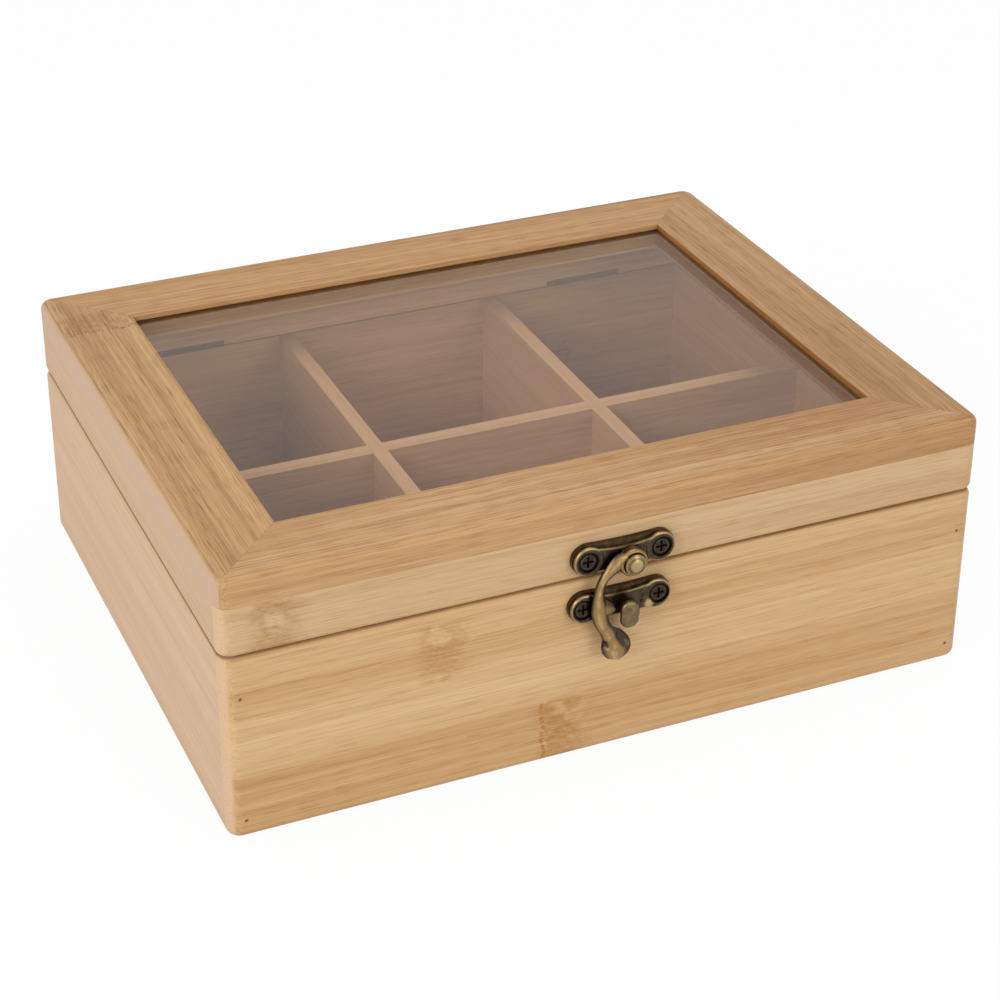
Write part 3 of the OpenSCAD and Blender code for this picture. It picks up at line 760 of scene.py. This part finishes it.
def swept(mesh, worn, rows, crest, polish):
    """Adds a bar along the rows; crest, -1 to 1 across, is where its face is highest."""
    rings = []
    for index in range((len(rows) - 1) * RINGS_PER_ROW + 1):
        along = index / RINGS_PER_ROW
        right, up, half, lift, thick = on_line(rows, along)
        ahead = on_line(rows, min(along + 0.01, len(rows) - 1))
        behind = on_line(rows, max(along - 0.01, 0))
        heading = Vector((ahead[0] - behind[0], ahead[1] - behind[1])).normalized()
        made = bmesh.ops.create_circle(mesh, segments=RING_POINTS, radius=1.0)["verts"]
        for vert in made:
            side, high = vert.co.x, vert.co.y
            x = right - heading.y * side * half
            z = up + heading.x * side * half
            height, vert[worn] = section(side, high, x, z, thick, crest, polish)
            out = HOOK_MIDDLE + lift + height
            vert.co = Vector((PIVOT_X + x, -HALF_DEPTH - out, PIVOT_Z + z)) * MM
        rings.append(list(dict.fromkeys(edge for vert in made for edge in vert.link_edges)))
    for first, second in zip(rings, rings[1:]):
        bmesh.ops.bridge_loops(mesh, edges=first + second)
    bmesh.ops.edgeloop_fill(mesh, edges=rings[0])
    bmesh.ops.edgeloop_fill(mesh, edges=rings[-1])


print(RING_POINTS, "points in a ring")

# %% [markdown]
# The eye of the hook is a ring round the rivet, with a low rim round a flat seat for the rivet's
# head. Its section is drawn once, as a closed line of corners, and spun through a full turn,
# which is how a lathe would cut it.

# %% The eye: a profile spun round the rivet
RIVET_HOLE = 1.35
EYE_STEPS = 64
# Each corner: distance from the pivot, distance in front of the box, wear
EYE_CORNERS = [
    (RIVET_HOLE, 2.9, 0.0), (3.7, 2.9, 0.0), (3.95, 3.2, 0.2), (4.0, 3.8, 0.4), (3.9, 4.4, 0.6),
    (3.6, 4.8, 0.75), (3.3, 4.9, 0.65), (3.05, 4.75, 0.2), (2.8, 4.6, 0.0), (RIVET_HOLE, 4.6, 0.0)]


def spun_eye(mesh, worn):
    verts = []
    for away, out, wear in EYE_CORNERS:
        vert = mesh.verts.new(Vector((PIVOT_X + away, -HALF_DEPTH - out, PIVOT_Z)) * MM)
        vert[worn] = wear
        verts.append(vert)
    edges = [mesh.edges.new(pair) for pair in zip(verts, verts[1:] + verts[:1])]
    bmesh.ops.spin(mesh, geom=verts + edges, cent=Vector((PIVOT_X, -HALF_DEPTH, PIVOT_Z)) * MM,
                   axis=(0, 1, 0), angle=2 * math.pi, steps=EYE_STEPS, use_merge=True)


print("the eye is", 2 * max(corner[0] for corner in EYE_CORNERS), "mm across")

# %% [markdown]
# The bar, the spur and the eye run into each other in one mesh. A Boolean could unite them, but
# it leaves uneven faces where rounded shapes meet at a slant, and the overlap never shows. The
# hook rides on the body that swings, and takes the place of the plainer solid.

# %% The whole hook
def smooth_piece(mesh, name):
    """Turns a bmesh into an object that is shaded smooth."""
    data = bpy.data.meshes.new(name)
    mesh.to_mesh(data)
    mesh.free()
    data.shade_smooth()
    piece = bpy.data.objects.new(name, data)
    bpy.context.scene.collection.objects.link(piece)
    print(name, "has", len(data.polygons), "faces")
    return piece


hook_mesh = bmesh.new()
wear_and_shade_layer = hook_mesh.verts.layers.float.new("worn")
swept(hook_mesh, wear_and_shade_layer, HOOK_ROWS, crest=-0.4, polish=1.0)
swept(hook_mesh, wear_and_shade_layer, SPUR_ROWS, crest=0.0, polish=0.5)
spun_eye(hook_mesh, wear_and_shade_layer)
bmesh.ops.recalc_face_normals(hook_mesh, faces=hook_mesh.faces)
hook = smooth_piece(hook_mesh, "swing_hook")
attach(hook, "hook")
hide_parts("latch_hook")


# %% [markdown]
# Fingers keep the crest of the hook golden. The finish reads the mesh's own attribute for wear
# and painted shade, and adds a cloud of noise to it, so that the bright parts fade out unevenly,
# as real wear does.

# %% The hook's brass: golden where it is handled
HOOK_CLOUD = (3.0, 0.6, 0.6)
HOOK_GRIT = (1.0, 0.5, 2.6)


def handled_brass_with_shade():
    finish = new_finish("hook_brass")
    x, y, z = finish.place()
    cloud = finish.noise(finish.point(x, y, z), *HOOK_CLOUD)
    grit = finish.noise(finish.point(x, y, z), *HOOK_GRIT)
    # The worn attribute holds the wear and the painted shade of the inner side
    worn = finish.node("ShaderNodeAttribute", {"attribute_name": "worn"}, output="Fac")
    worn = worn + (cloud - 0.5) * 0.5
    body = finish.mix(worn.step(0.0, 0.7), tint(72, 58, 44), tint(148, 118, 76))
    body = finish.mix(worn.step(0.8, 1.15), body, tint(198, 172, 124))
    return finish.surface(body, 0.2 * cloud + 0.26, cloud + grit * 0.4, 0.03, Metallic=0.9)


hook.data.materials.append(handled_brass_with_shade())
print("hook finished")

# %% [markdown]
# ### The strike post
#
# The hook catches behind a post whose head is broader than its neck. The construction model has
# the neck, so the head is added to it: a block with two bevels, a large one that rounds its
# outline and a small one that softens the rim of its face.

# %% The head of the strike post
HEAD_MIDDLE = (0.3, 44.4)
HEAD_SIZE = (5.0, 7.9)
HEAD_LOW, HEAD_HIGH = 5.1, 6.54  # how far it stands out from the front of the box
HEAD_ROUNDING, HEAD_SOFTENING = 2.3, 0.9  # the radii of its outline and of its rim


def rounded(mesh, edges, radius, segments):
    bmesh.ops.bevel(mesh, geom=edges, offset=radius, segments=segments, profile=0.5,
                    affect="EDGES", material=-1)


head_mesh = bmesh.new()
bmesh.ops.create_cube(head_mesh, size=1.0)
head_size = (HEAD_SIZE[0], HEAD_HIGH - HEAD_LOW, HEAD_SIZE[1])
bmesh.ops.scale(head_mesh, vec=head_size, verts=head_mesh.verts)
outline = [edge for edge in head_mesh.edges
           if abs(edge.verts[0].co.y - edge.verts[1].co.y) > 1.0]
rounded(head_mesh, outline, HEAD_ROUNDING, 8)
rim = [edge for edge in head_mesh.edges
       if max(vert.co.y for vert in edge.verts) < 0 and edge.calc_face_angle() > 1.0]
rounded(head_mesh, rim, HEAD_SOFTENING, 5)
head_place = (HEAD_MIDDLE[0], -HALF_DEPTH - (HEAD_LOW + HEAD_HIGH) / 2, HEAD_MIDDLE[1])
bmesh.ops.translate(head_mesh, vec=head_place, verts=head_mesh.verts)
bmesh.ops.scale(head_mesh, vec=(MM, MM, MM), verts=head_mesh.verts)
head = smooth_piece(head_mesh, "post_head")
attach(head, "box")
# The head's brass is brighter than the plate's: painted light on the lit head
head.data.materials.append(cast_brass("post_head_brass", 0.36, rough=0.40))

# %% [markdown]
# ### Brads
#
# Small wire nails hold the corners of the box. Their heads lie under the lacquer, which dulls
# them to brown, so their finish isn't metallic.

# %% Brads
def dull_brads():
    finish = new_finish("lacquered_brads")
    x, y, z = finish.place()
    cloud = finish.noise(finish.point(x, y, z), 2.0, 0.5, 3.0)
    colour = finish.mix(cloud, tint(104, 74, 44), tint(150, 114, 74))
    return finish.surface(colour, 0.2 * cloud + 0.45, cloud, 0.02, Metallic=0.0)


dress(dull_brads(), "box_brads")

# %% [markdown]
# ## Floor, light and camera
#
# The floor catches the box's shadow, yet it has to look as white as the background. A Light Path
# node settles that: rays from the camera meet mostly plain white light, and every other ray meets
# a matt floor. The surroundings work the same way, so the box is lit by a dimmer room than the
# one that the camera sees.

# %% The floor
FLOOR_LIGHT = 0.95  # the rest shows the shadow


def lit_white(finish, base, light, share):
    """White light for the camera, gloss and clear rays; base is what all other rays meet."""
    camera_ray, gloss_ray, clear_ray = [finish.node("ShaderNodeLightPath", output=ray) for ray in
                                        ("Is Camera Ray", "Is Glossy Ray", "Is Transmission Ray")]
    seen = camera_ray.maths("MAXIMUM", gloss_ray).maths("MAXIMUM", clear_ray)
    return finish.node("ShaderNodeMixShader", None, {0: seen * share, 1: base, 2: light})


def white_floor():
    finish = new_finish("white_floor")
    matt = finish.node("ShaderNodeBsdfDiffuse", None, {"Color": (0.8, 0.8, 0.8, 1)})
    shine = finish.node("ShaderNodeEmission", None, {"Color": (1, 1, 1, 1), "Strength": 1.0})
    skin = lit_white(finish, matt, shine, FLOOR_LIGHT)
    finish.node("ShaderNodeOutputMaterial", None, {"Surface": skin})
    return finish.owner


FLOOR_HALF = 6.0  # metres, so that its end never shows
plane = bmesh.new()
bmesh.ops.create_grid(plane, x_segments=1, y_segments=1, size=FLOOR_HALF)
floor_mesh = bpy.data.meshes.new("floor")
plane.to_mesh(floor_mesh)
plane.free()
floor_mesh.materials.append(white_floor())
floor = bpy.data.objects.new("floor", floor_mesh)
bpy.context.scene.collection.objects.link(floor)
print("floor ready")

# %% The surroundings
studio = bpy.data.worlds.new("studio")
room = Finish(studio)
dim = room.node("ShaderNodeBackground", None, {"Color": (1, 1, 1, 1), "Strength": 0.55})
white = room.node("ShaderNodeBackground", None, {"Color": (1, 1, 1, 1), "Strength": 1.0})
room.node("ShaderNodeOutputWorld", None, {"Surface": lit_white(room, dim, white, 1.0)})
bpy.context.scene.world = studio
print("surroundings ready")

# %% [markdown]
# Three large lamps give soft light without hard shadows: one like a window on the left, which is
# the strongest, one overhead, and one that fills in the front.

# %% Lamps
AIM = (0, 0, 0.04)  # the middle of the box


def soft_lamp(name, place, size, power):
    """A round lamp that aims at the box; size in metres, power in watts."""
    light = bpy.data.lights.new(name, "AREA")
    light.shape = "DISK"
    light.size = size
    light.energy = power
    lamp = bpy.data.objects.new(name, light)
    lamp.location = place
    lamp.rotation_euler = (Vector(AIM) - Vector(place)).to_track_quat("-Z", "Y").to_euler()
    bpy.context.scene.collection.objects.link(lamp)
    print(name, "at", place)


soft_lamp("window_left", (-1.3, -0.7, 0.9), 0.9, 13.0)
soft_lamp("ceiling", (0.2, 0.1, 1.8), 1.2, 8.0)
soft_lamp("front_fill", (0.7, -1.6, 0.6), 0.9, 7.0)

# %% [markdown]
# The camera stands to the left of the box and above it, and looks down at the latch. Its long
# lens keeps the edges of the box nearly parallel, and a small shift moves the box to the middle
# of the frame.

# %% Camera
EYE_PLACE = (-0.24348, -0.56584, 0.3866)
EYE_TURN = (62.2303, -0.2295, -23.4672)  # degrees about x, y and z
SENSOR, LENS = 36.0, 88.214  # millimetres
SHIFT = -0.1

eye = bpy.data.cameras.new("camera")
eye.sensor_width = SENSOR
eye.lens = LENS
eye.shift_y = SHIFT
eye.clip_start = 0.05
camera = bpy.data.objects.new("camera", eye)
camera.location = EYE_PLACE
camera.rotation_euler = Euler([math.radians(turn) for turn in EYE_TURN])
bpy.context.scene.collection.objects.link(camera)
bpy.context.scene.camera = camera
bpy.context.scene.view_settings.view_transform = "Standard"
print("camera looks from", tuple(camera.location))
